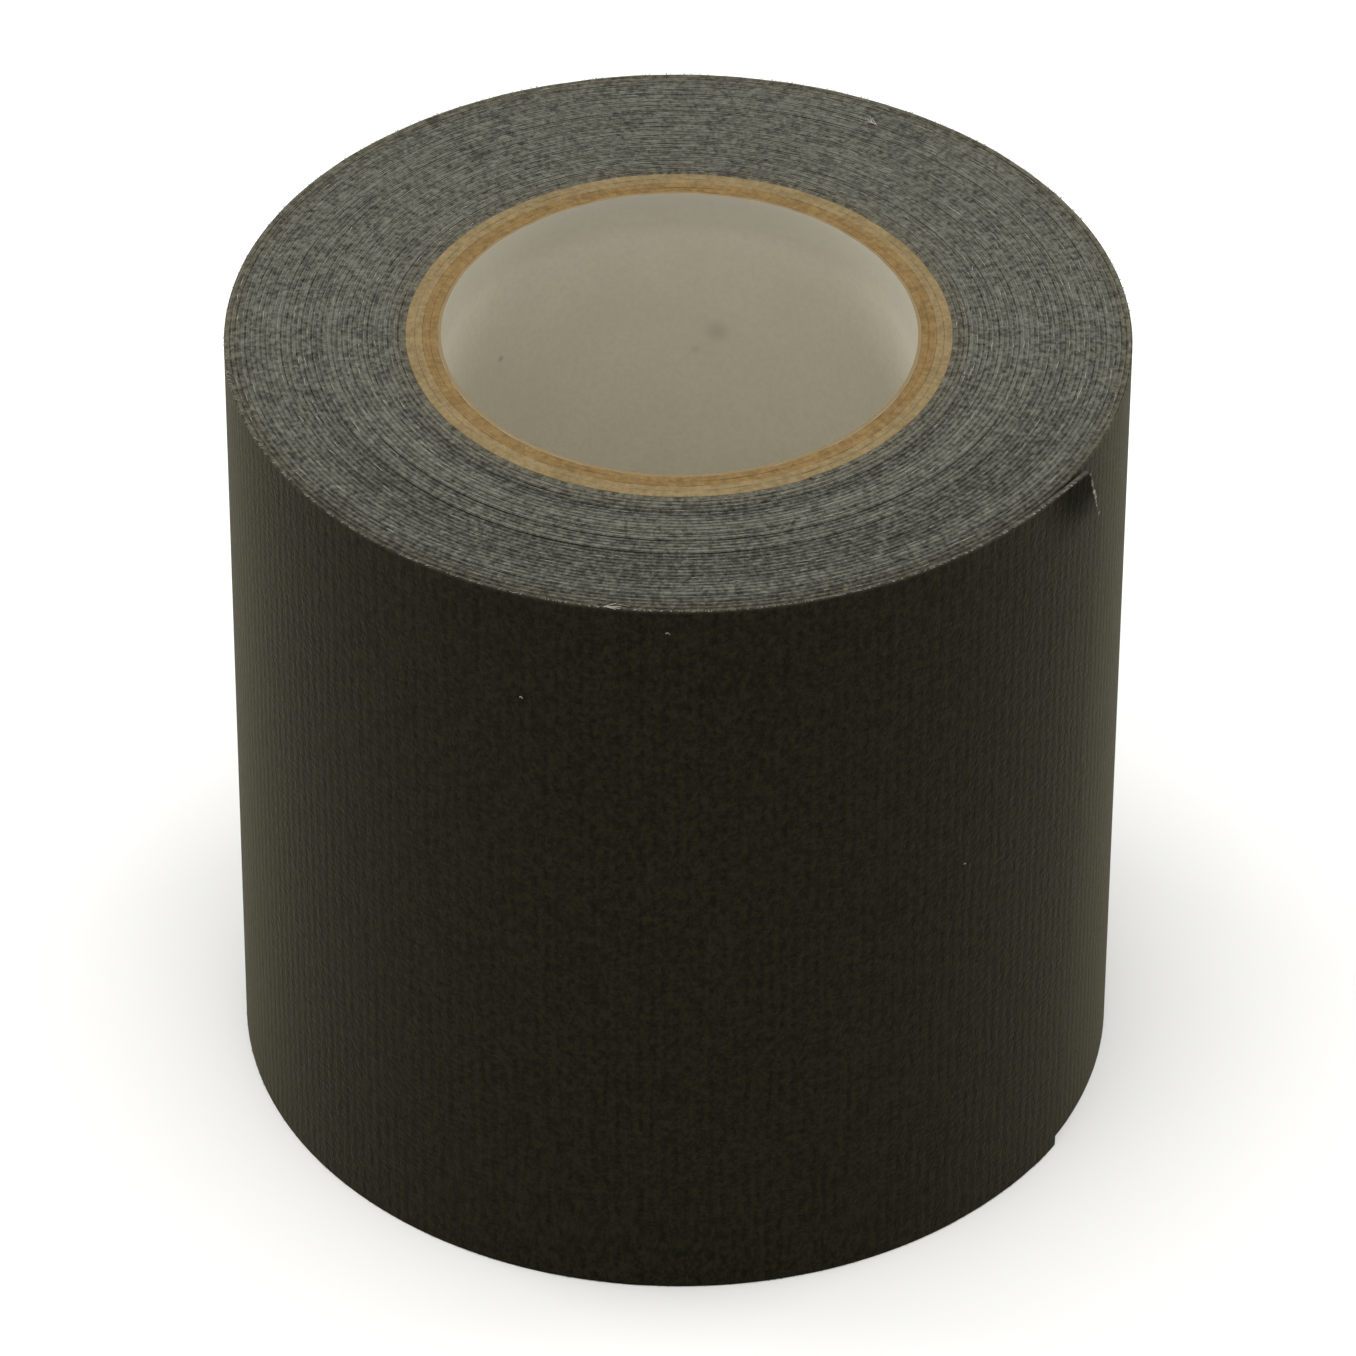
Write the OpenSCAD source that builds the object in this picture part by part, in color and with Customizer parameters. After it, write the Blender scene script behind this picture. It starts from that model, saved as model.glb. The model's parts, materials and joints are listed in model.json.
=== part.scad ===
// Roll of cloth-backed duct tape, standing on one end.
// The tape is one ribbon of three laminated layers (adhesive inside, woven scrim, plastic film
// outside), wound counter-clockwise outwards on a core of spiral-wound kraft paper plies.
// Its last stretch, the tail, is cut into segments that peel off the roll on a chain of hinges.
// Frame: origin at the centre of the bore on the bottom end face, +Z along the roll's axis.

/* [Tape] */
// Width of the tape, which is the roll's height when it stands on end
tape_w = 48; // [24:1:72]
// Thickness of the adhesive layer
adhesive_t = 0.11; // [0.08:0.01:0.16]
// Thickness of the woven scrim
scrim_t = 0.07; // [0.05:0.01:0.12]
// Thickness of the outer film
film_t = 0.085; // [0.06:0.005:0.12]
// Full turns between the first half turn and the last one
turns = 35; // [10:1:40]
// Where the tape starts on the core, in degrees counter-clockwise from +X
start_angle = -62; // [-150:1:-10]

/* [Core] */
// Radius of the open bore
bore_r = 13.13; // [11:0.01:14]
// Outer radius of the core
core_r = 15; // [14.8:0.1:40]
// Thickness of the white paper that lines the bore
liner_t = 0.2; // [0.1:0.05:0.4]
// Kraft plies between the liner and the tape
plies = 4; // [2:1:4]

/* [Tail] */
// Where the tail leaves the wound tape, in degrees counter-clockwise from +X
tail_angle = -103; // [-120:1:-95]
// Segments in the tail, each on its own hinge
segments = 6; // [2:1:6]
// Arc of one segment, in degrees
segment_angle = 12; // [8:1:12]
// How far the top corner of the cut end runs on past the bottom corner, in degrees
cut_lead = 7; // [0:0.5:8]
// Length torn off the top corner of the cut end, along the tape
nip_w = 2.3; // [0.5:0.1:4]
// Height torn off the top corner of the cut end
nip_h = 5; // [1:0.1:6]

/* [Hidden] */
// Clearance between neighbouring layers and plies, in place of the bond between them
layer_gap = 0.005;
// Half of the clearance between two tail segments
segment_gap = 0.01;
// What one turn adds to the radius
pitch = adhesive_t + scrim_t + film_t + 3 * layer_gap;
// Inside radius of the first half turn
first_r = core_r + pitch / 4 + layer_gap;
// The half turn that ends in the tail
last_half = 2 * turns;
// Distance from one layer's inside face to the ribbon's own inside face
adhesive_at = 0;
scrim_at = adhesive_t + layer_gap;
film_at = scrim_at + scrim_t + layer_gap;
// Outside radius of the tail, which is where its hinges lie
tail_r = half_r(last_half) + film_at + film_t;
// Half of the clearance between two segments, as an angle
gap_angle = segment_gap / tail_r * 180 / PI;
$fn = 180;

LAYERS = ["adhesive", "scrim", "film"];

// The ribbon's spiral is made of half turns. Even ones lie on the -Y side and odd ones on the
// +Y side, and each has its own centre on X, so that every half turn runs on from the last.
function half_r(k) = first_r + k * pitch / 2;
function half_x(k) = (k % 2 == 0 ? 1 : -1) * pitch / 4;

function layer_at(layer) = layer == "film" ? film_at : layer == "scrim" ? scrim_at : adhesive_at;
function layer_t(layer) = layer == "film" ? film_t : layer == "scrim" ? scrim_t : adhesive_t;
function layer_color(layer) =
    layer == "film" ? "#22221c" : layer == "scrim" ? "#8e8f86" : "#c8c6bb";

// A ring of the given inside radius and thickness, over the whole width
module tube(inside_r, thickness) {
    difference() {
        cylinder(r = inside_r + thickness, h = tape_w);
        translate([0, 0, -1])
            cylinder(r = inside_r, h = tape_w + 2);
    }
}

// One layer of the ribbon in half turn k, between two angles
module ribbon_arc(k, layer, from, to) {
    translate([half_x(k), 0, 0])
        rotate_extrude(angle = to - from, start = from)
            translate([half_r(k) + layer_at(layer), 0])
                square([layer_t(layer), tape_w]);
}

// White paper glued inside the core
module core_liner() {
    color("#ece9df")
        tube(bore_r, liner_t);
}

// One kraft ply, counted outwards from the liner
module core_ply(i) {
    ply_t = (core_r - bore_r - liner_t) / plies;
    color(i <= plies / 2 ? "#a9794a" : "#c69c6d")
        tube(bore_r + liner_t + (i - 1) * ply_t + layer_gap, ply_t - layer_gap);
}

// One layer of the tape, from its start on the core to where the tail leaves
module wound(layer) {
    color(layer_color(layer))
        union() {
            ribbon_arc(0, layer, start_angle, 0);
            for (k = [1:last_half - 1])
                ribbon_arc(k, layer, 180 * (k - 1), 180 * k);
            ribbon_arc(last_half, layer, -180, tail_angle - gap_angle);
        }
}

// A half space that lies towards +Y of a plane through the X axis, which leans by an angle from
// upright towards -Y
module beyond(lean) {
    reach = 2 * tape_w;
    rotate([lean, 0, 0])
        translate([-reach / 2, 0, -reach])
            cube([reach, reach, 2 * reach]);
}

// Takes away what lies beyond the tape's cut end, which slopes forwards towards the top and has
// lost its top corner
module cut_end() {
    middle_angle = tail_angle + segments * segment_angle + cut_lead / 2;
    half_lead = tail_r * sin(cut_lead / 2);
    difference() {
        children();
        translate([half_x(last_half), 0, 0])
            rotate([0, 0, middle_angle])
                translate([tail_r, 0, tape_w / 2]) {
                    beyond(-atan(2 * half_lead / tape_w));
                    translate([0, half_lead - nip_w, tape_w / 2])
                        beyond(atan(nip_w / nip_h));
                }
    }
}

// One layer of tail segment i, counted from where the tail leaves the wound tape
module tail(i, layer) {
    from = tail_angle + (i - 1) * segment_angle;
    to = from + segment_angle;
    color(layer_color(layer))
        if (i < segments)
            ribbon_arc(last_half, layer, from + gap_angle, to - gap_angle);
        else
            cut_end()
                ribbon_arc(last_half, layer, from + gap_angle, to + 2 * cut_lead);
}

core_liner();
for (i = [1:plies])
    core_ply(i);
for (layer = LAYERS)
    wound(layer);
for (i = [1:segments]) for (layer = LAYERS)
    tail(i, layer);
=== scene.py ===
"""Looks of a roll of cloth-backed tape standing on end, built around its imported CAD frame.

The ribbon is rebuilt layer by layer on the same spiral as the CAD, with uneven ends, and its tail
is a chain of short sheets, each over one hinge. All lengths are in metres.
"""

import json
import math

import bpy
import numpy as np
from mathutils import Matrix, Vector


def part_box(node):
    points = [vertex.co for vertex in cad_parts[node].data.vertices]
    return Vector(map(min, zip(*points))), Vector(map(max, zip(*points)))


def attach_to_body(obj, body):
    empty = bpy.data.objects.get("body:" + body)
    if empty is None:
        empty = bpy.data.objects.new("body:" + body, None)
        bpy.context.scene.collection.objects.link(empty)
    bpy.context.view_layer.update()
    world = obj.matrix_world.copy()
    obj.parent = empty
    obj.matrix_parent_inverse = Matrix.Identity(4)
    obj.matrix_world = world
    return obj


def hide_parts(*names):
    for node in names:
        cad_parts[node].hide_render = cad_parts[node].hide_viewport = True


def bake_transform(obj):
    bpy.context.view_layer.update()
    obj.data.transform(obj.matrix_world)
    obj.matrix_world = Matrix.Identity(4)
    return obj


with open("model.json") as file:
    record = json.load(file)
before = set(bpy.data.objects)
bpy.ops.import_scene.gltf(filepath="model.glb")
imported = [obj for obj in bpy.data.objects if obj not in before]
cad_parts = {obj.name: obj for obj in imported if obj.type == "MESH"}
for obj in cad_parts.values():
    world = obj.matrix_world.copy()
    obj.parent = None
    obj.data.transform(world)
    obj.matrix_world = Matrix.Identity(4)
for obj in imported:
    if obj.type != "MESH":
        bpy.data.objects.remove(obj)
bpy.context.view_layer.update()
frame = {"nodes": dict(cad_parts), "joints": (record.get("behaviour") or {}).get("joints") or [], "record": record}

MM = 0.001
rng = np.random.default_rng(48)

# ---------------------------------------------------------------- sizes from the frame
mounts = {m["name"]: m for m in frame["record"]["mounts"]}
joints = sorted(frame["joints"], key=lambda j: j["name"])
BORE_R = mounts["core_bore"]["dims"]["r_mm"] * MM
PLIES = [n for n in sorted(frame["nodes"]) if n.startswith("core_ply_")]
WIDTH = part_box("core_liner")[1][2]
LINER_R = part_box("core_liner")[1][0]
CORE_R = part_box(PLIES[-1])[1][0]

# The spiral is made of half turns whose centres lie a quarter of the pitch either side of the axis,
# so each half turn reaches half the pitch farther in X than the one before it.
LAYER_GAP = 0.005 * MM
film_low, film_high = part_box("wound_film")
PITCH = round(2 * (-film_low[0] - film_high[0]) / MM, 3) * MM
INNER_R = -film_low[0] - PITCH / 4 - (PITCH - LAYER_GAP)
HALVES = round((INNER_R - CORE_R - PITCH / 4) / (PITCH / 2))
FIRST_R = INNER_R - HALVES * PITCH / 2
TURN = 2 * math.pi


def layer_top(node):
    """Distance from the ribbon's inside face to a wound layer's outside face."""
    return -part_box(node)[0][0] - PITCH / 4 - INNER_R


ADHESIVE = (0.0, layer_top("wound_adhesive"))
SCRIM = (ADHESIVE[1] + LAYER_GAP, layer_top("wound_scrim"))
FILM = (SCRIM[1] + LAYER_GAP, PITCH - LAYER_GAP)
LAYERS = {"adhesive": ADHESIVE, "scrim": SCRIM, "film": FILM}
TAIL_R = FIRST_R + (HALVES + 1) * PITCH / 2 + FILM[1]

# The hinges give the tail's angles, counted along the ribbon from its first half turn
hinge_angles = [math.atan2(j["pos_m"][1], j["pos_m"][0] - PITCH / 4) for j in joints]
FULL_TURNS = (HALVES + 1) // 2
HINGES = [a + FULL_TURNS * TURN for a in hinge_angles]
SEGMENT = HINGES[1] - HINGES[0]
TAPE_START = math.radians(-62)
WINDING_END = HINGES[0] - SEGMENT / 2
CUT_BOTTOM = HINGES[-1] + SEGMENT
# The cut end slopes forwards towards the top, and its top corner is torn off
CUT_TOP = CUT_BOTTOM + math.radians(7)
TORN_WIDTH = 2.6 * MM
TORN_HEIGHT = 5.0 * MM
# Each piece of the tail runs from one of these angles to the next, half way between the hinges
TAIL_BOUNDS = [WINDING_END] + [h + SEGMENT / 2 for h in HINGES]
# A winding angle small enough to stay inside one piece of the tail
NUDGE = 1e-3


# ---------------------------------------------------------------- the ribbon's spiral
def ribbon_point(phi, depth):
    """x and y of the ribbon at winding angle phi, at a depth outwards from its inside face."""
    rounding = 1e-9
    k = np.floor(phi / math.pi + rounding) + 1
    centre = np.where(k % 2 == 0, 1.0, -1.0) * PITCH / 4
    r = FIRST_R + k * PITCH / 2 + depth
    return centre + r * np.cos(phi), r * np.sin(phi)


def ribbon_length(phi):
    """Arc length along the ribbon at winding angle phi."""
    return FIRST_R * phi + PITCH / (2 * TURN) * phi * phi


def smooth(x):
    """0 to 1 with flat ends, for x from 0 to 1."""
    x = np.clip(x, 0, 1)
    return x * x * (3 - 2 * x)


def waves(x, periods, seed):
    """A sum of sine waves of the given periods, from -1 to 1, with phases that the seed sets."""
    phases = np.random.default_rng(seed).uniform(0, TURN, len(periods))
    total = sum(np.sin(TURN * x / p + q) for p, q in zip(periods, phases))
    return total / len(periods)


# Turns whose ends sit lower or higher than their neighbours on the front of the roll, by turn
# number from the core, with the height of each in millimetres
UNEVEN_TURNS = {3: -0.02, 4: -0.065, 5: -0.07, 6: -0.03, 9: 0.03, 10: 0.03, 14: -0.06, 15: -0.045,
                18: -0.05, 19: -0.06, 20: -0.055, 21: -0.06, 22: -0.045, 23: -0.05, 24: -0.08,
                25: -0.08, 26: -0.06, 27: -0.035, 28: -0.02, 30: -0.02, 31: -0.035, 32: -0.045,
                33: -0.035, 34: -0.08, 35: -0.08}
# How far each layer's cut ends stand out, in millimetres
LAYER_RISE = {"adhesive": -0.008, "scrim": 0.016, "film": -0.014}
# Long waves from turn to turn and short ripples along the ribbon, as heights in millimetres and
# periods in turns and in radians
TURN_WAVE = 0.035
TURN_PERIODS = [0.37, 1.9, 5.3, 11.0]
RIPPLE = 0.02
RIPPLE_PERIODS = [0.11, 0.23, 0.41]


def end_height(phi, layer, end):
    """How far a layer stands out past the ribbon's width, at its top (end 1) or bottom (end 0)."""
    turn = phi / TURN
    rise = TURN_WAVE * waves(turn, TURN_PERIODS, 10 + end)
    rise = rise + RIPPLE * waves(phi, RIPPLE_PERIODS, 20 + end + len(layer))
    angle = np.mod(phi + math.pi, TURN) - math.pi
    from_front = np.abs(angle + math.pi / 2)
    # 1 within 45 degrees of the front and 0 past 95 degrees
    front = smooth((math.radians(95) - from_front) / math.radians(50))
    for number, height in UNEVEN_TURNS.items():
        # The front is a quarter turn short of a whole one. 1 near the turn, 0 past two thirds of one
        from_turn = np.abs(turn - number + 0.25)
        inside = smooth(1.6 - from_turn * 2.4)
        rise = rise + height * inside * (front if end == 1 else 0.6 * (1 - front))
    return (rise + LAYER_RISE[layer]) * MM


# ---------------------------------------------------------------- mesh helpers
def new_piece(name, verts, faces, material, ribbon=None, sharp=35):
    """A smooth-shaded mesh piece. One of the ribbon's also keeps the ribbon's own coordinates of
    its points, and their place at rest."""
    mesh = bpy.data.meshes.new(name)
    mesh.from_pydata([tuple(v) for v in verts], [], [tuple(f) for f in faces])
    mesh.validate()
    mesh.polygons.foreach_set("use_smooth", [True] * len(mesh.polygons))
    mesh.set_sharp_from_angle(angle=math.radians(sharp))
    if ribbon is not None:
        for label, values in (("ribbon", ribbon), ("place", verts)):
            at = mesh.attributes.new(label, "FLOAT_VECTOR", "POINT")
            at.data.foreach_set("vector", np.asarray(values, np.float32).ravel())
    piece = bpy.data.objects.new(name, mesh)
    bpy.context.collection.objects.link(piece)
    mesh.materials.append(material)
    return piece


def grid_faces(rows, cols, first, flip=False):
    """Quads of a rows by cols grid of vertices that starts at index first."""
    r, c = np.meshgrid(np.arange(rows - 1), np.arange(cols - 1), indexing="ij")
    a = (first + r * cols + c).ravel()
    quads = np.stack([a, a + cols, a + cols + 1, a + 1], 1)
    return quads[:, ::-1] if flip else quads


def slab(outer, inner):
    """Vertices and faces of a closed sheet between two grids of points of one shape."""
    rows, cols = outer.shape[:2]
    count = rows * cols
    verts = np.concatenate([outer.reshape(-1, 3), inner.reshape(-1, 3)])
    faces = [grid_faces(rows, cols, 0), grid_faces(rows, cols, count, flip=True)]
    edge = [r * cols for r in range(rows)]
    edge += [(rows - 1) * cols + c for c in range(1, cols)]
    edge += [r * cols + cols - 1 for r in range(rows - 2, -1, -1)]
    edge += [c for c in range(cols - 2, 0, -1)]
    a = np.array(edge)
    b = np.roll(a, -1)
    faces.append(np.stack([b, a, a + count, b + count], 1))
    return verts, np.concatenate(faces)


def threads(name, paths, radius, material, sides=5):
    """Many thin threads as one piece. Each path is a short row of points along a thread."""
    not_upright = [0.3, 0.2, 0.93]
    tip = 0.55
    verts, faces = [], []
    ring = np.arange(sides)
    for path in paths:
        first = len(verts)
        along = np.gradient(path, axis=0)
        along /= np.linalg.norm(along, axis=1)[:, None]
        side = np.cross(along, not_upright)
        side /= np.linalg.norm(side, axis=1)[:, None]
        up = np.cross(side, along)
        taper = np.linspace(1, tip, len(path))
        for p, s, u, t in zip(path, side, up, taper):
            turn = TURN * ring / sides
            spoke = np.cos(turn)[:, None] * s + np.sin(turn)[:, None] * u
            verts.extend(p + radius * t * spoke)
        for row in range(len(path) - 1):
            a = first + row * sides
            for k in range(sides):
                after = (k + 1) % sides
                faces.append((a + k, a + after, a + sides + after, a + sides + k))
        faces.append(tuple(first + ring[::-1]))
        faces.append(tuple(first + (len(path) - 1) * sides + ring))
    return new_piece(name, verts, faces, material, sharp=70)


# ---------------------------------------------------------------- material helpers
class Nodes:
    """A short way to write a material's node tree."""

    def __init__(self, name):
        self.material = bpy.data.materials.new(name)
        self.material.use_nodes = True
        self.tree = self.material.node_tree
        self.shader = self.tree.nodes["Principled BSDF"]

    def add(self, kind, **inputs):
        """A new node with its inputs set. An underscore stands for a space in an input's name."""
        node = self.tree.nodes.new(kind)
        for key, value in inputs.items():
            self.put(node.inputs[key.replace("_", " ")], value)
        return node

    def put(self, socket, value):
        """Links an output to the socket, or sets the socket to a plain value."""
        if isinstance(value, bpy.types.NodeSocket):
            self.tree.links.new(value, socket)
        else:
            socket.default_value = value

    def attribute(self, name):
        """The value of a mesh attribute, as a vector."""
        node = self.tree.nodes.new("ShaderNodeAttribute")
        node.attribute_name = name
        return node.outputs["Vector"]

    def upright(self):
        """1 where a face is level, as an end face is, and 0 on a wall."""
        wall, level = 0.55, 0.8
        normal = self.tree.nodes.new("ShaderNodeNewGeometry").outputs["True Normal"]
        up = self.add("ShaderNodeSeparateXYZ", Vector=normal).outputs[2]
        return self.between(self.maths("ABSOLUTE", up), wall, level)

    def maths(self, operation, a, b=0.0):
        node = self.tree.nodes.new("ShaderNodeMath")
        node.operation = operation
        for socket, value in zip(node.inputs, (a, b)):
            self.put(socket, value)
        return node.outputs[0]

    def between(self, value, low, high, to_low=0.0, to_high=1.0):
        """Runs smoothly from to_low to to_high as the value runs from low to high."""
        node = self.add("ShaderNodeMapRange", Value=value, From_Min=low, From_Max=high,
                        To_Min=to_low, To_Max=to_high)
        node.interpolation_type = "SMOOTHSTEP"
        return node.outputs[0]

    def mix(self, factor, a, b):
        node = self.tree.nodes.new("ShaderNodeMix")
        node.data_type = "RGBA"
        for socket, value in ((node.inputs[0], factor), (node.inputs[6], a), (node.inputs[7], b)):
            self.put(socket, value)
        return node.outputs[2]

    def noise(self, vector, scale, detail=3.0, roughness=0.55):
        node = self.add("ShaderNodeTexNoise", Vector=vector, Scale=scale, Detail=detail,
                        Roughness=roughness)
        return node.outputs[0]

    def stretched(self, vector, x, y, z):
        node = self.add("ShaderNodeMapping", Vector=vector, Scale=(x, y, z))
        return node.outputs[0]

    def bump(self, height, distance, strength=1.0):
        node = self.add("ShaderNodeBump", Height=height, Distance=distance, Strength=strength)
        return node.outputs[0]

    def finish(self, **inputs):
        """Sets the shader's inputs and returns the material."""
        for key, value in inputs.items():
            self.put(self.shader.inputs[key.replace("_", " ")], value)
        return self.material


def rgb(red, green, blue):
    return (red, green, blue, 1.0)


# ---------------------------------------------------------------- materials
# Spacing of the scrim's upright ribs and of the threads that cross them
RIB_PITCH = 0.64 * MM
THREAD_PITCH = 0.42 * MM
# The ends of the turns nearest the core and of the outermost ones are browner with handling:
# these are the turn where the first ends, and the two turns between which the second sets in
INNER_HANDLED = 4
OUTER_HANDLED = (31.5, 33.5)


def ribbon_axes(n):
    """The ribbon's coordinates as one vector, and those along it and up it on their own."""
    where = n.attribute("ribbon")
    parts = n.add("ShaderNodeSeparateXYZ", Vector=where)
    return where, parts.outputs[0], parts.outputs[1]


def end_fibres(n, where, along, height, colour):
    """Covers the ribbon's cut ends with grey fibres, whose flecks run on through all its layers.
    Ends that stand high are painted lighter and low ones darker, as painted light and shade."""
    mask = n.maths("MULTIPLY", n.upright(), 0.9)
    place = n.attribute("place")
    strand = n.noise(n.stretched(where, 1600.0, 0.0, 0.0), 1.0, 3.0, 0.7)
    speck = n.noise(place, 3300.0, 3.0, 0.7)
    patch = n.noise(place, 700.0, 2.0)
    tone = n.maths("ADD", n.maths("MULTIPLY", strand, 0.38), n.maths("MULTIPLY", speck, 0.52))
    tone = n.maths("ADD", tone, n.maths("MULTIPLY", patch, 0.10))
    # Painted light and shade: high ends are lightened and low ones darkened by how far they stand out
    middle = n.maths("SUBTRACT", height, WIDTH / 2)
    rise = n.maths("SUBTRACT", n.maths("ABSOLUTE", middle), WIDTH / 2)
    tone = n.maths("ADD", tone, n.maths("MULTIPLY", rise, 0.9 / MM))
    contrast = n.between(tone, 0.345, 0.635)
    grey = n.mix(contrast, rgb(0.014, 0.014, 0.010), rgb(0.136, 0.136, 0.109))
    inner = n.between(along, 0.0, ribbon_length(INNER_HANDLED * TURN), 0.55, 0.0)
    outer_from, outer_to = (ribbon_length(turns * TURN) for turns in OUTER_HANDLED)
    outer = n.between(along, outer_from, outer_to, 0.0, 0.65)
    handled = n.mix(contrast, rgb(0.014, 0.012, 0.006), rgb(0.120, 0.108, 0.069))
    return n.mix(mask, colour, n.mix(n.maths("MAXIMUM", inner, outer), grey, handled))


def film_material():
    """Matte black film pressed over a woven cloth, so that its ribs show. Round the torn corner it has
    painted shade: darker colour and less sheen and specular, for the shadow under the lifted corner."""
    n = Nodes("film")
    where, along, height = ribbon_axes(n)
    sway = n.noise(where, 260.0, 2.0)
    warped = n.maths("ADD", along, n.maths("MULTIPLY", sway, 0.25 * MM))
    rib = n.maths("SINE", n.maths("MULTIPLY", warped, TURN / RIB_PITCH))
    cross = n.maths("SINE", n.maths("MULTIPLY", height, TURN / THREAD_PITCH))
    grain = n.noise(n.stretched(where, 5200.0, 3600.0, 5200.0), 1.0, 3.0, 0.7)
    mottle = n.noise(n.stretched(where, 2600.0, 1700.0, 2600.0), 1.0, 3.0, 0.6)
    cloth = n.maths("ADD", n.maths("MULTIPLY", rib, 0.17), n.maths("MULTIPLY", cross, 0.05))
    cloth = n.maths("ADD", cloth, n.maths("MULTIPLY", grain, 2.2))
    tone = n.maths("ADD", n.maths("MULTIPLY", mottle, 0.35), n.maths("MULTIPLY", grain, 0.65))
    colour = n.mix(n.between(tone, 0.38, 0.64),
                   rgb(0.0016, 0.0015, 0.0006), rgb(0.0150, 0.0140, 0.0061))
    colour = n.mix(n.between(rib, -1.0, 1.0, 0.0, 0.13), colour, rgb(0.018, 0.017, 0.008))
    # Painted shade for the shadow under the lifted corner: darker film, less sheen and specular
    before = n.maths("SUBTRACT", ribbon_length(CUT_TOP) - TORN_WIDTH, along)
    below = n.maths("SUBTRACT", WIDTH, height)
    from_corner = n.maths("SQRT", n.maths("ADD", n.maths("MULTIPLY", before, before),
                                          n.maths("MULTIPLY", below, below)))
    clear_of_corner_shade = n.between(from_corner, 1.5 * MM, 4.6 * MM, 0.25, 1.0)
    colour = n.mix(clear_of_corner_shade, rgb(0.0010, 0.0009, 0.0004), colour)
    worn = n.between(height, WIDTH - 0.3 * MM, WIDTH, 0.0, 0.8)
    colour = n.mix(n.maths("MULTIPLY", worn, mottle), colour, rgb(0.05, 0.048, 0.034))
    return n.finish(
        Base_Color=end_fibres(n, where, along, height, colour),
        Roughness=n.between(grain, 0.3, 0.7, 0.6, 0.8),
        Specular_IOR_Level=n.maths("MULTIPLY", clear_of_corner_shade, 0.06),
        Specular_Tint=rgb(1.0, 0.93, 0.7),
        Sheen_Weight=n.maths("MULTIPLY", clear_of_corner_shade, 0.10),
        Sheen_Roughness=0.32,
        Sheen_Tint=rgb(1.0, 0.88, 0.5),
        Normal=n.bump(cloth, 0.04 * MM, 1.0),
    )


def scrim_material():
    """Cotton threads: cut ends on the roll's end faces, light and dark along the ribbon."""
    n = Nodes("scrim")
    where, along, height = ribbon_axes(n)
    strands = n.noise(n.stretched(where, 900.0, 2500.0, 3000.0), 1.0, 3.0, 0.65)
    colour = n.mix(n.between(strands, 0.36, 0.66), rgb(0.05, 0.05, 0.036), rgb(0.16, 0.158, 0.125))
    return n.finish(
        Base_Color=end_fibres(n, where, along, height, colour),
        Roughness=0.85,
        Specular_IOR_Level=0.2,
        Sheen_Weight=0.1,
        Normal=n.bump(strands, 0.04 * MM, 0.8),
    )


def adhesive_material():
    """Grey rubbery adhesive. On its open side the scrim's threads print through it."""
    n = Nodes("adhesive")
    where, along, height = ribbon_axes(n)
    blotch = n.noise(n.stretched(where, 700.0, 700.0, 1500.0), 1.0, 4.0, 0.6)
    fine = n.noise(n.stretched(where, 2600.0, 2600.0, 2600.0), 1.0, 2.0)
    rib = n.maths("SINE", n.maths("MULTIPLY", along, TURN / RIB_PITCH))
    cross = n.maths("SINE", n.maths("MULTIPLY", height, TURN / THREAD_PITCH))
    weave = n.maths("MAXIMUM", rib, cross)
    tone = n.maths("ADD", n.maths("MULTIPLY", blotch, 0.5), n.maths("MULTIPLY", fine, 0.4))
    tone = n.maths("ADD", tone, n.maths("MULTIPLY", weave, 0.07))
    colour = n.mix(n.between(tone, 0.34, 0.62), rgb(0.040, 0.040, 0.029), rgb(0.115, 0.114, 0.088))
    relief = n.maths("ADD", n.maths("MULTIPLY", weave, 0.5), n.maths("MULTIPLY", fine, 0.6))
    return n.finish(
        Base_Color=end_fibres(n, where, along, height, colour),
        Roughness=n.between(blotch, 0.3, 0.7, 0.4, 0.65),
        Specular_IOR_Level=0.25,
        Normal=n.bump(relief, 0.03 * MM, 0.7),
    )


def kraft_material(name, dark, light):
    """Kraft board: fibres along the wall and a rougher cut end."""
    n = Nodes(name)
    place = n.add("ShaderNodeTexCoord").outputs["Object"]
    fibre = n.noise(n.stretched(place, 2600.0, 2600.0, 700.0), 1.0, 4.0, 0.7)
    blotch = n.noise(place, 420.0, 3.0)
    tone = n.maths("ADD", n.maths("MULTIPLY", fibre, 0.75), n.maths("MULTIPLY", blotch, 0.25))
    colour = n.mix(n.between(tone, 0.30, 0.70), dark, light)
    return n.finish(
        Base_Color=colour,
        Roughness=0.86,
        Specular_IOR_Level=0.25,
        Normal=n.bump(fibre, 0.06 * MM, 0.8),
    )


# The liner's seam: its rise in one turn, and where it starts as a share of a turn
SEAM_RISE = 62 * MM
SEAM_START = 0.62
# Faint marks inside the bore: angle in degrees, height and size in millimetres, and strength
LINER_MARKS = [(80.8, 38.6, 1.1, 0.28), (140.0, 39.9, 0.3, 0.55), (86.0, 37.2, 0.5, 0.2)]


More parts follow.
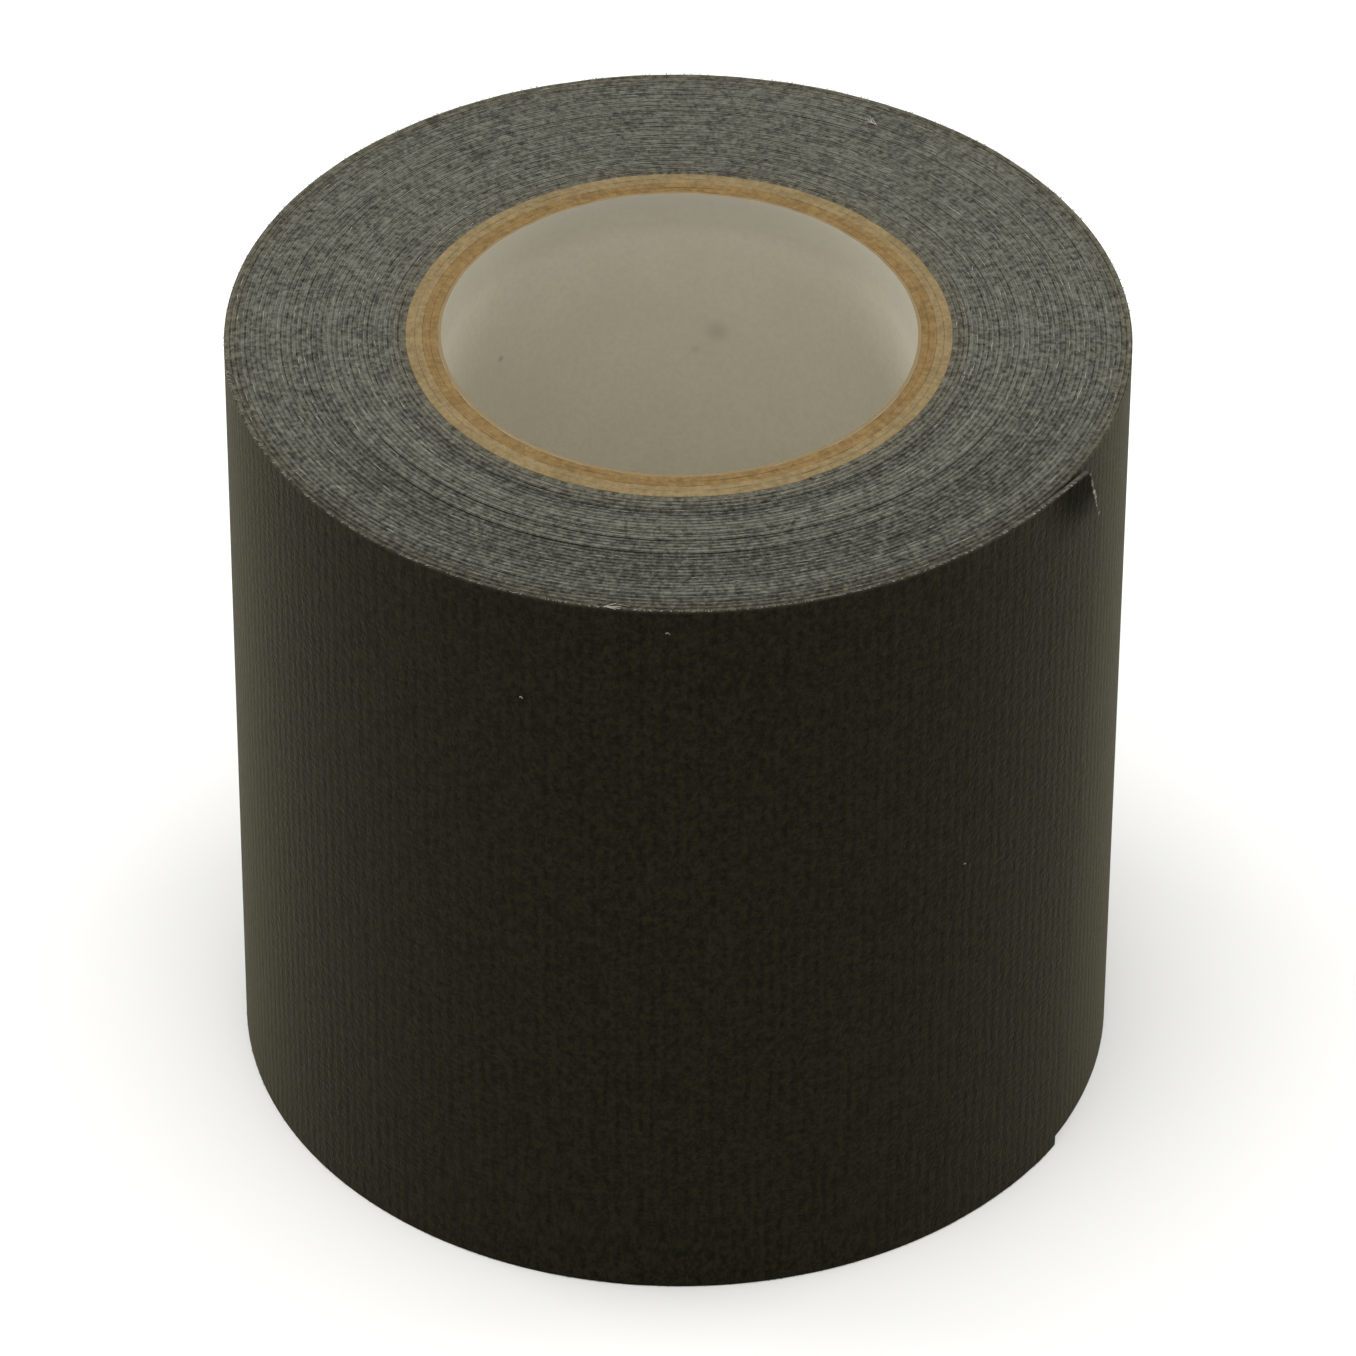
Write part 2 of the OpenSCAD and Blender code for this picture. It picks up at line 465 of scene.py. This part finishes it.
def liner_material():
    """Off-white paper with fine fibres, a butt seam on a helix and a few faint marks. It has painted
    shade that darkens it towards the top of the bore.
    """
    n = Nodes("liner_paper")
    place = n.add("ShaderNodeTexCoord").outputs["Object"]
    parts = n.add("ShaderNodeSeparateXYZ", Vector=place)
    x, y, z = parts.outputs
    fibre = n.noise(place, 2800.0, 4.0, 0.7)
    blotch = n.noise(place, 190.0, 3.0)
    angle = n.maths("ARCTAN2", y, x)
    helix = n.maths("FRACT", n.maths("ADD", n.maths("DIVIDE", angle, TURN),
                                     n.maths("DIVIDE", z, SEAM_RISE)))
    from_seam = n.maths("ABSOLUTE", n.maths("SUBTRACT", helix, SEAM_START))
    seam = n.between(from_seam, 0.0, 0.004, 0.22, 0.0)
    marks = 0.0
    for mark_angle, mark_z, mark_size, strength in LINER_MARKS:
        turned = n.maths("SUBTRACT", angle, math.radians(mark_angle))
        across = n.maths("MULTIPLY", turned, BORE_R)
        upwards = n.maths("SUBTRACT", z, mark_z * MM)
        away = n.add("ShaderNodeVectorMath", Vector=n.add(
            "ShaderNodeCombineXYZ", X=across, Y=upwards).outputs[0])
        away.operation = "LENGTH"
        ragged = n.maths("ADD", away.outputs[1], n.maths("MULTIPLY", fibre, 0.9 * mark_size * MM))
        mark = n.between(ragged, 0.45 * mark_size * MM, 1.4 * mark_size * MM, strength, 0.0)
        marks = n.maths("MAXIMUM", marks, mark)
    colour = n.mix(n.between(blotch, 0.3, 0.7),
                   rgb(0.575, 0.538, 0.432), rgb(0.605, 0.568, 0.458))
    colour = n.mix(n.between(fibre, 0.35, 0.7, 0.0, 0.5), colour, rgb(0.515, 0.48, 0.385))
    # Painted shade: the paper is darkened towards the top of the bore
    top_of_bore_shade = n.between(z, WIDTH - 3.2 * MM, WIDTH, 0.0, 0.85)
    colour = n.mix(top_of_bore_shade, colour, rgb(0.36, 0.335, 0.27))
    colour = n.mix(n.maths("MAXIMUM", seam, marks), colour, rgb(0.20, 0.18, 0.13))
    colour = n.mix(n.upright(), colour, rgb(0.190, 0.138, 0.066))
    return n.finish(
        Base_Color=colour,
        Roughness=0.8,
        Specular_IOR_Level=0.3,
        Normal=n.bump(n.maths("SUBTRACT", fibre, seam), 0.02 * MM, 0.7),
    )


def thread_material(name, colour):
    """One colour of loose cotton, brighter on some threads."""
    n = Nodes(name)
    place = n.add("ShaderNodeTexCoord").outputs["Object"]
    tone = n.noise(place, 900.0, 2.0)
    darker = rgb(*(0.45 * c for c in colour))
    return n.finish(
        Base_Color=n.mix(n.between(tone, 0.35, 0.65), darker, rgb(*colour)),
        Roughness=0.8,
        Sheen_Weight=0.3,
        Normal=n.bump(tone, 0.01 * MM, 0.5),
    )


# ---------------------------------------------------------------- core
# Angles round the core, counted from where the tape starts on it
AROUND = TAPE_START + np.radians(np.arange(0, 360, 2))
# The last ply's share of the room under the first turn. The adhesive fills the rest.
PLY_SHARE = 0.35


def core_gap(phi):
    """Room between the core and the ribbon's first turn, which runs outwards in a spiral."""
    room = np.hypot(*ribbon_point(phi, 0.0)) - CORE_R
    rounding = 1e-6
    return np.where(phi < TAPE_START + TURN - rounding, room, 0.0)


def tube(name, inside, outside, material, uneven, seed, rows=9):
    """A core layer with slightly uneven ends. Its outside is a radius or one for each of AROUND."""
    around = np.append(AROUND, AROUND[0] + TURN)
    edge = 0.015 * MM
    middle = np.linspace(2 * MM, WIDTH - 2 * MM, rows)
    levels = np.concatenate([[0, edge], middle, [WIDTH - edge, WIDTH]])
    top = uneven * waves(around, [TURN / 3, TURN / 8, TURN / 21, TURN / 47], seed) * MM
    low = uneven * waves(around, [TURN / 2, TURN / 9, TURN / 23, TURN / 41], seed + 50) * MM
    verts = []
    outer_radii = np.broadcast_to(outside, AROUND.shape)
    inner_radii = np.full(AROUND.shape, inside)
    for radii, inward in ((outer_radii, 1), (inner_radii, -1)):
        soft = np.zeros(len(levels))
        soft[[0, -1]] = inward * edge * 0.6
        for a, radius, t, b in zip(AROUND, radii, top, low):
            z = levels.copy()
            z[-2:] += t
            z[:2] = np.maximum(z[:2] + b, [0.0, edge])
            r = radius - soft
            verts.append(np.stack([r * np.cos(a), r * np.sin(a), z], 1))
    cols, spokes = len(levels), len(AROUND)
    verts = np.array(verts).reshape(-1, 3)
    faces = []
    for i in range(spokes):
        j = (i + 1) % spokes
        a, b = i * cols, j * cols
        c, d = spokes * cols + a, spokes * cols + b
        for k in range(cols - 1):
            faces.append((a + k, b + k, b + k + 1, a + k + 1))
            faces.append((c + k, c + k + 1, d + k + 1, d + k))
        faces.append((a + cols - 1, b + cols - 1, d + cols - 1, c + cols - 1))
        faces.append((a, c, d, b))
    piece = new_piece(name, verts, faces, material, sharp=50)
    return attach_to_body(piece, "roll")


def build_core():
    """The paper liner, and a ply of kraft board for each in the CAD, the inner ones darker."""
    liner = tube("paper_liner", BORE_R, LINER_R, liner_material(), 0.05, 1)
    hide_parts("core_liner")
    inner = kraft_material("kraft_inner", rgb(0.118, 0.072, 0.023), rgb(0.215, 0.139, 0.053))
    outer = kraft_material("kraft_outer", rgb(0.135, 0.096, 0.042), rgb(0.23, 0.168, 0.082))
    inside = LINER_R
    for i, node in enumerate(PLIES):
        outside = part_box(node)[1][0]
        material = inner if i < len(PLIES) - 2 else outer
        if node == PLIES[-1]:
            outside = outside + PLY_SHARE * core_gap(AROUND) - LAYER_GAP
        ply = tube(f"kraft_ply_{i + 1}", inside + LAYER_GAP, outside, material,
                   0.03, 5 + i)
        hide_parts(node)
        inside = outside


# ---------------------------------------------------------------- wound tape
def layer_sheet(phi, z, layer, lift):
    """Outer and inner grids of a layer, with the ribbon's coordinates of their points."""
    sides, notes = [], []
    inner_face, outer_face = LAYERS[layer]
    if layer == "adhesive":
        inner_face = inner_face - (1 - PLY_SHARE) * core_gap(phi)
    for depth in (outer_face, inner_face):
        x, y = ribbon_point(phi, depth + lift)
        sides.append(np.stack([x, y, z], -1))
        notes.append(np.stack([ribbon_length(phi), z, np.broadcast_to(depth, z.shape)], -1))
    return sides[0], sides[1], np.concatenate([a.reshape(-1, 3) for a in notes])


def sheet_heights(phi, layer, rows):
    """Rows of heights from the uneven bottom end to the uneven top end."""
    low = -end_height(phi, layer, 0)
    high = WIDTH + end_height(phi, layer, 1)
    return low[:, None] + (high - low)[:, None] * rows[None, :]


def build_winding(materials):
    """Each layer of the tape, from its start on the core to the first bend of the tail."""
    phi = np.append(np.arange(TAPE_START, WINDING_END, math.radians(2)), WINDING_END)
    rows = np.array([0.0, 0.004, 0.996, 1.0])
    for layer, material in materials.items():
        z = np.maximum(sheet_heights(phi, layer, rows), 0.0)
        grid = np.repeat(phi[:, None], len(rows), 1)
        outer, inner, ribbon = layer_sheet(grid, z, layer, 0.0)
        verts, faces = slab(outer, inner)
        piece = new_piece(f"wound_{layer}_layer", verts, faces, material, ribbon)
        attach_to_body(piece, "roll")
        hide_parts(f"wound_{layer}")


# ---------------------------------------------------------------- tail
CORNER_LIFT = 0.28 * MM
EDGE_LIFT = 0.05 * MM


def cut_angle(z):
    """Winding angle of the tape's ragged cut end at height z. Its top corner is torn off."""
    share = z / WIDTH
    ragged = 0.0022 * waves(z / MM, [0.9, 2.3, 5.1, 13.0], 77)
    torn = np.maximum(0.0, z - (WIDTH - TORN_HEIGHT)) / TORN_HEIGHT * TORN_WIDTH / TAIL_R
    return CUT_BOTTOM + (CUT_TOP - CUT_BOTTOM) * share + ragged - torn


def tail_lift(phi, z):
    """How far the tail stands off the roll at rest: its cut end a little, its top corner more."""
    to_cut = (cut_angle(z) - phi) * TAIL_R
    to_top = WIDTH - z
    edge = EDGE_LIFT * smooth(1 - to_cut / (7 * MM))
    near = np.clip(1 - to_cut / (4.0 * MM) - to_top / (6.0 * MM), 0, 1)
    corner = CORNER_LIFT * near * near
    return edge + corner


def attach(piece, phi):
    """Makes a piece of the ribbon at winding angle phi follow the roll or the tail's end. A piece over
    a bend only has its transform baked into its mesh.
    """
    if phi < WINDING_END:
        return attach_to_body(piece, "roll")
    if phi > TAIL_BOUNDS[-1]:
        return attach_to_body(piece, f"tail_{len(HINGES)}")
    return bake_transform(piece)


def tail_grid(bend, layer, rows, steps=14):
    """Winding angles and heights over one bend, or over the tail's end after the last bend."""
    start = TAIL_BOUNDS[bend]
    last = bend == len(HINGES)
    nominal = np.linspace(start, CUT_BOTTOM if last else TAIL_BOUNDS[bend + 1], steps)
    low = -end_height(nominal, layer, 0)[:, None]
    high = WIDTH + end_height(nominal, layer, 1)[:, None]
    z = np.maximum(low + (high - low) * rows, 0.0)
    end = cut_angle(z) if last else np.full_like(z, TAIL_BOUNDS[bend + 1])
    return start + (end - start) * np.linspace(0, 1, steps)[:, None], z


def build_tail(materials):
    """Each layer of the tail, as a sheet over every hinge and one more at the cut end."""
    rows = smooth(np.linspace(0.06, 0.94, 61))
    rows = (rows - rows[0]) / (rows[-1] - rows[0])
    for bend in range(len(HINGES) + 1):
        last = bend == len(HINGES)
        for layer, material in materials.items():
            phi, z = tail_grid(bend, layer, rows)
            outer, inner, ribbon = layer_sheet(phi, z, layer, tail_lift(phi, z))
            verts, faces = slab(outer, inner)
            name = f"tail_end_{layer}" if last else f"tail_bend_{bend + 1}_{layer}"
            piece = new_piece(name, verts, faces, material, ribbon)
            if not last:
                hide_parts(f"tail_{bend + 1}_{layer}")
            attach(piece, TAIL_BOUNDS[bend] + NUDGE)


# ---------------------------------------------------------------- loose threads
def lying_thread(phi, depth, z, length, drift):
    """A thread that lies on an end face along the ribbon, drifting outwards by a little."""
    share = np.linspace(0, 1, 4)
    x, y = ribbon_point(phi + share * length / TAIL_R, depth + drift * share)
    return np.stack([x, y, z + 0.02 * MM * np.sin(share * math.pi)], 1)


def rim_thread(phi, end):
    """A short cut thread that crosses the outer rim of an end face."""
    height = end_height(np.array([phi]), "scrim", end)[0]
    z = WIDTH + height if end else -height
    length = rng.uniform(0.08, 0.22) * MM
    lean = rng.normal(0, 0.5)
    out = np.array([-0.10, 0.0, 0.04]) * MM
    along = np.array([0.0, 0.4, 1.0]) * length * lean / TAIL_R
    rise = np.array([-0.01, 0.03, 0.01 + 0.04 * rng.random()]) * MM
    lift = tail_lift(phi, np.array([z]))[0] if phi > WINDING_END else 0.0
    x, y = ribbon_point(phi + along, FILM[1] + lift + out)
    heights = z + rise if end else np.maximum(z - rise, 0.01 * MM)
    return np.stack([x, y, heights], 1)


def cut_thread(z, out):
    """A thread that stands out of the tape's cut end at height z, by out from the scrim."""
    length = rng.uniform(0.08, 0.3) * MM
    share = np.linspace(-0.3, 1, 4)
    phi = cut_angle(np.array([z]))[0]
    lift = tail_lift(phi, np.array([z]))[0]
    depth = SCRIM[0] + lift + out + rng.uniform(-0.02, 0.06) * MM
    x, y = ribbon_point(phi + share * length / TAIL_R, depth)
    return np.stack([x, y, z + share * rng.normal(0, 0.25) * length], 1)


def wall_lint(angle, z, length):
    """The winding angle and path of a curl of lint on the film, at an angle in degrees."""
    phi = math.radians(angle) + FULL_TURNS * TURN
    share = np.linspace(0, 1, 5)
    curl = phi + length / TAIL_R * (share - 0.5)
    x, y = ribbon_point(curl, FILM[1] + 0.03 * MM)
    return phi, np.stack([x, y, z + 0.35 * length * np.sin(share * 4)], 1)


# Lint on the wall: angle in degrees, height and length in millimetres
WALL_LINT = [(-109.6, 41.0, 0.16), (-91.4, 46.5, 0.22), (-51.4, 26.3, 0.15)]
# Tufts of pulled threads on the top end: angle in degrees and turn number
END_TUFTS = [(61, 27), (-99, FULL_TURNS)]


def end_threads(name, end, count, material):
    """Loose threads that lie on an end face, and short ones over its rim up to the tail."""
    rim_count = 260
    paths = []
    for phi in rng.uniform(TAPE_START, WINDING_END - TURN / 2, count):
        height = end_height(np.array([phi]), "scrim", end)[0]
        z = WIDTH + height if end else max(-height, 0.02 * MM)
        depth = rng.uniform(SCRIM[0], SCRIM[1])
        length = rng.uniform(0.25, 0.95) * MM
        paths.append(lying_thread(phi, depth, z, length, rng.normal(0, 0.05) * MM))
    for phi in rng.uniform(WINDING_END - TURN * 0.69, WINDING_END - 0.01, rim_count):
        paths.append(rim_thread(phi, end))
    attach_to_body(threads(name, paths, 0.022 * MM, material), "roll")


def tail_rim_threads(bend, material):
    """Short threads over both rims of one piece of the tail."""
    margin = 0.01
    upper = TAIL_BOUNDS[bend + 1] if bend < len(HINGES) else CUT_BOTTOM - math.radians(1)
    spots = rng.uniform(TAIL_BOUNDS[bend] + margin, upper - margin, 18)
    paths = [rim_thread(phi, end) for phi in spots for end in (0, 1)]
    piece = threads(f"rim_threads_{bend + 1}", paths, 0.02 * MM, material)
    attach(piece, TAIL_BOUNDS[bend] + NUDGE)


def end_tuft(name, angle, turn, material):
    """A tuft of pulled threads on the top end, at an angle in degrees in the turn given."""
    paths = []
    for _ in range(7):
        phi = math.radians(angle) + turn * TURN + rng.normal(0, 0.2) * MM / TAIL_R
        height = WIDTH + end_height(np.array([phi]), "scrim", 1)[0]
        length = rng.uniform(0.3, 0.7) * MM
        path = lying_thread(phi, SCRIM[1], height, length, rng.normal(0, 0.2) * MM)
        path[:, 2] += np.linspace(0, rng.uniform(0.05, 0.2) * MM, 4)
        paths.append(path)
    attach(threads(name, paths, 0.026 * MM, material), phi)


def build_threads():
    """Cotton that has come loose: on both end faces, over the rims, along the cut and as lint."""
    light = thread_material("loose_thread", (0.24, 0.24, 0.195))
    bright = thread_material("pulled_thread", (0.34, 0.33, 0.28))
    end_threads("top_threads", 1, 760, light)
    end_threads("bottom_threads", 0, 260, light)
    for bend in range(len(HINGES) + 1):
        tail_rim_threads(bend, light)
    heights = rng.uniform(0.5 * MM, WIDTH - TORN_HEIGHT, 40)
    paths = [cut_thread(z, 0.0) for z in heights]
    attach(threads("cut_threads", paths, 0.022 * MM, light), CUT_BOTTOM)
    heights = WIDTH - np.clip(rng.normal(2.3, 1.1, 46), 0.2, 4.4) * MM
    paths = [cut_thread(z, 0.1 * MM) for z in heights]
    attach(threads("torn_threads", paths, 0.022 * MM, bright), CUT_BOTTOM)
    for i, (angle, z, length) in enumerate(WALL_LINT):
        phi, path = wall_lint(angle, z * MM, length * MM)
        attach(threads(f"wall_lint_{i + 1}", [path], 0.045 * MM, light), phi)
    for i, (angle, turn) in enumerate(END_TUFTS):
        end_tuft(f"end_tuft_{i + 1}", angle, turn, bright)


# ---------------------------------------------------------------- stage
def build_stage():
    """A wide pale floor, a hair below the roll."""
    n = Nodes("floor")
    place = n.add("ShaderNodeTexCoord").outputs["Object"]
    tone = n.noise(place, 3.0, 2.0)
    n.finish(Base_Color=n.mix(tone, rgb(0.86, 0.86, 0.855), rgb(0.90, 0.90, 0.895)), Roughness=0.9)
    mesh = bpy.data.meshes.new("floor")
    half = 1.6
    mesh.from_pydata([(-half, -half, 0), (half, -half, 0), (half, half, 0), (-half, half, 0)],
                     [], [(0, 1, 2, 3)])
    mesh.materials.append(n.material)
    floor = bpy.data.objects.new("floor", mesh)
    bpy.context.collection.objects.link(floor)
    floor.location.z = -0.05 * MM


def area_light(name, place, size, power):
    """A square lamp that faces the origin."""
    data = bpy.data.lights.new(name, "AREA")
    data.size = size
    data.energy = power
    data.color = (1.0, 0.99, 0.96)
    light = bpy.data.objects.new(name, data)
    light.location = place
    aim = -light.location.normalized()
    light.rotation_euler = aim.to_track_quat("-Z", "Y").to_euler()
    bpy.context.collection.objects.link(light)


def build_lights():
    """A large lamp overhead, one behind on either side that lights the wall's edges, and fill."""
    area_light("overhead", (-0.03, -0.12, 0.85), 1.1, 9.6)
    area_light("left", (-0.9, 0.38, 0.22), 0.5, 4.8)
    area_light("right", (0.9, 0.38, 0.2), 0.5, 3.9)
    world = bpy.data.worlds.new("studio")
    world.use_nodes = True
    background = world.node_tree.nodes["Background"]
    background.inputs["Color"].default_value = rgb(1.0, 1.0, 1.0)
    background.inputs["Strength"].default_value = 0.45
    bpy.context.scene.world = world


def build_camera():
    """A long lens, 36 degrees above the top end face and at a distance set by the roll's radius,
    which is taken half way between its reach in X and in Y."""
    radius = INNER_R + FILM[1] - PITCH / 8
    distance = 19.74 * radius
    elevation = math.radians(36.01)
    aimed_below = math.radians(2.22)
    turned = math.radians(0.25)
    data = bpy.data.cameras.new("camera")
    data.sensor_width = 36.0
    data.lens = 237.5
    data.clip_start = 0.05
    data.clip_end = 20.0
    camera = bpy.data.objects.new("camera", data)
    camera.location = (0, -distance * math.cos(elevation), WIDTH + distance * math.sin(elevation))
    tilt = Matrix.Rotation(math.radians(90) - elevation - aimed_below, 4, "X")
    roll = Matrix.Rotation(turned, 4, "Z")
    camera.rotation_euler = (tilt @ roll).to_euler()
    bpy.context.collection.objects.link(camera)
    bpy.context.scene.camera = camera
    bpy.context.scene.view_settings.view_transform = "Standard"


build_core()
tape_materials = {
    "adhesive": adhesive_material(),
    "scrim": scrim_material(),
    "film": film_material(),
}
build_winding(tape_materials)
build_tail(tape_materials)
build_threads()
build_stage()
build_lights()
build_camera()
